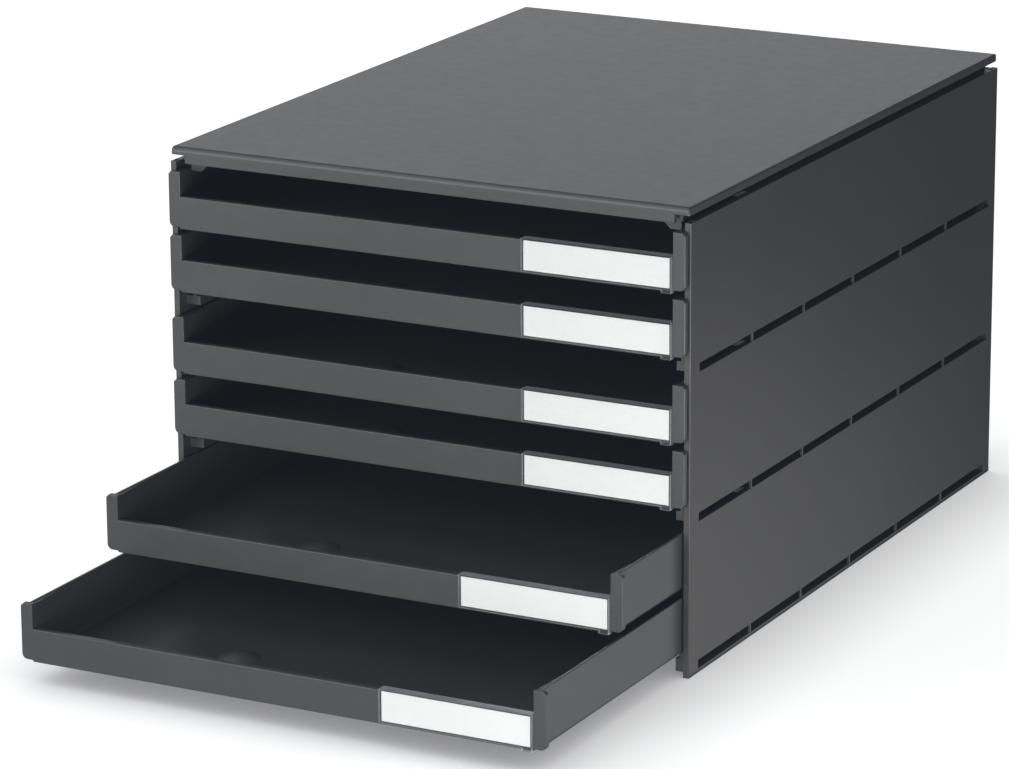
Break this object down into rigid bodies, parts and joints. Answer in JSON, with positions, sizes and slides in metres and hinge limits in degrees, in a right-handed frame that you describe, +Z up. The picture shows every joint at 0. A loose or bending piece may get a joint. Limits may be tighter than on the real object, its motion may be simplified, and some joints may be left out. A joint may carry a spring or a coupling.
{
  "type": "letter tray stack",
  "caption": "Desktop letter tray stack: low trays with cut-down fronts and clear label covers slide in a slotted case under a flat lid.",
  "frame": {"origin": "on the desk, at the middle of the case's footprint", "axes": "+X to the right across the front, +Y from the drawer fronts to the back, +Z up"},
  "size_m": [0.2482, 0.4599, 0.2028],
  "materials": {
    "housing": "fine moulded grain, satin",
    "drawer": "moulded polystyrene, satin",
    "clear_cover": "clear polished",
    "card": "smooth white card"
  },
  "bodies": {
    "case": {"lid": "housing", "base_frame": "housing", "side_wall_left_bottom": "housing", "side_wall_right_bottom": "housing", "rear_panel_bottom": "housing", "cross_tie_bottom": "housing", "side_wall_left_middle": "housing", "side_wall_right_middle": "housing", "rear_panel_middle": "housing", "cross_tie_middle": "housing", "side_wall_left_top": "housing", "side_wall_right_top": "housing", "rear_panel_top": "housing", "cross_tie_top": "housing"},
    "drawer_1": {"drawer_tray_1": "drawer", "label_cover_1": "clear_cover", "label_card_1": "card"},
    "drawer_2": {"drawer_tray_2": "drawer", "label_cover_2": "clear_cover", "label_card_2": "card"},
    "drawer_3": {"drawer_tray_3": "drawer", "label_cover_3": "clear_cover", "label_card_3": "card"},
    "drawer_4": {"drawer_tray_4": "drawer", "label_cover_4": "clear_cover", "label_card_4": "card"},
    "drawer_5": {"drawer_tray_5": "drawer", "label_cover_5": "clear_cover", "label_card_5": "card"},
    "drawer_6": {"drawer_tray_6": "drawer", "label_cover_6": "clear_cover", "label_card_6": "card"}
  },
  "joints": [
    {"name": "drawer_slide_1", "type": "slide", "parent": "case", "child": "drawer_1", "axis": [0, -1, 0], "range_m": [0, 0.225]},
    {"name": "drawer_slide_2", "type": "slide", "parent": "case", "child": "drawer_2", "axis": [0, -1, 0], "range_m": [0, 0.225]},
    {"name": "drawer_slide_3", "type": "slide", "parent": "case", "child": "drawer_3", "axis": [0, -1, 0], "range_m": [0, 0.225]},
    {"name": "drawer_slide_4", "type": "slide", "parent": "case", "child": "drawer_4", "axis": [0, -1, 0], "range_m": [0, 0.225]},
    {"name": "drawer_slide_5", "type": "slide", "parent": "case", "child": "drawer_5", "axis": [0, -1, 0], "range_m": [-0.057, 0.168]},
    {"name": "drawer_slide_6", "type": "slide", "parent": "case", "child": "drawer_6", "axis": [0, -1, 0], "range_m": [-0.125, 0.1]}
  ]
}
